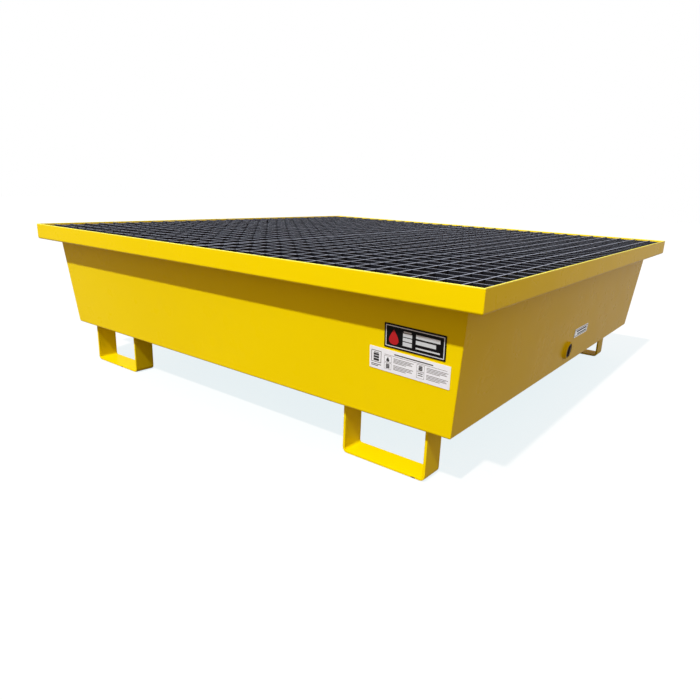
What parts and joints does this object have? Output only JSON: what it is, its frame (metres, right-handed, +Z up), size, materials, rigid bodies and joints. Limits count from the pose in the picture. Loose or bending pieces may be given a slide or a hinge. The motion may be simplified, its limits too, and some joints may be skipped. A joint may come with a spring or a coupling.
{
  "type": "spill containment pallet",
  "caption": "Square steel spill pallet: tapered sump with a lipped rim, lift-out grating deck, flat-bar feet open for forks, and a screw-in drain plug low in one wall.",
  "frame": {"origin": "on the ground under the pallet's middle", "axes": "+Z up; -Y is the labelled front wall; +X is the wall with the drain; the grating's bearing bars run along Y"},
  "size_m": [1.25, 1.25, 0.358],
  "materials": {
    "yellow_paint": "semi-gloss powder coat",
    "galvanised_steel": "hot-dip galvanised, dull",
    "gasket_rubber": "matt",
    "plug_iron": "blackened",
    "label_black": "printed film",
    "label_white": "printed film",
    "plate_silver": "printed foil"
  },
  "bodies": {
    "tub": {"base_plate": "yellow_paint", "front_wall": "yellow_paint", "right_wall": "yellow_paint", "rear_wall": "yellow_paint", "left_wall": "yellow_paint", "foot_front_left": "yellow_paint", "foot_front_right": "yellow_paint", "foot_rear_left": "yellow_paint", "foot_rear_right": "yellow_paint", "corner_weld_front_left": "yellow_paint", "corner_weld_front_right": "yellow_paint", "corner_weld_rear_left": "yellow_paint", "corner_weld_rear_right": "yellow_paint", "support_beam": "yellow_paint", "support_post": "yellow_paint", "beam_bracket_left": "yellow_paint", "beam_bracket_right": "yellow_paint", "drain_socket": "yellow_paint", "brand_plate": "label_black", "instruction_label": "label_white", "rating_plate": "plate_silver"},
    "grate_left": {"grate_panel_left": "galvanised_steel"},
    "grate_right": {"grate_panel_right": "galvanised_steel"},
    "drain_gasket": {"drain_gasket": "gasket_rubber"},
    "drain_plug": {"drain_plug": "plug_iron"}
  },
  "joints": [
    {"name": "grate_left_lift", "type": "slide", "parent": "tub", "child": "grate_left", "axis": [0, 0, 1], "range_m": [0, 0.3]},
    {"name": "grate_right_lift", "type": "slide", "parent": "tub", "child": "grate_right", "axis": [0, 0, 1], "range_m": [0, 0.3]},
    {"name": "drain_plug_travel", "type": "slide", "parent": "tub", "child": "drain_gasket", "axis": [0.9959, 0, -0.0905], "range_m": [0, 0.01501]},
    {"name": "drain_plug_turn", "type": "hinge", "parent": "drain_gasket", "child": "drain_plug", "pos_m": [0.5685, -0.021, 0.1385], "axis": [0.9959, 0, -0.0905], "range_deg": [0, 2340]}
  ],
  "couplings": [
    {"joint": "drain_plug_travel", "follows": "drain_plug_turn", "m_per_rad": 0.00036749}
  ]
}
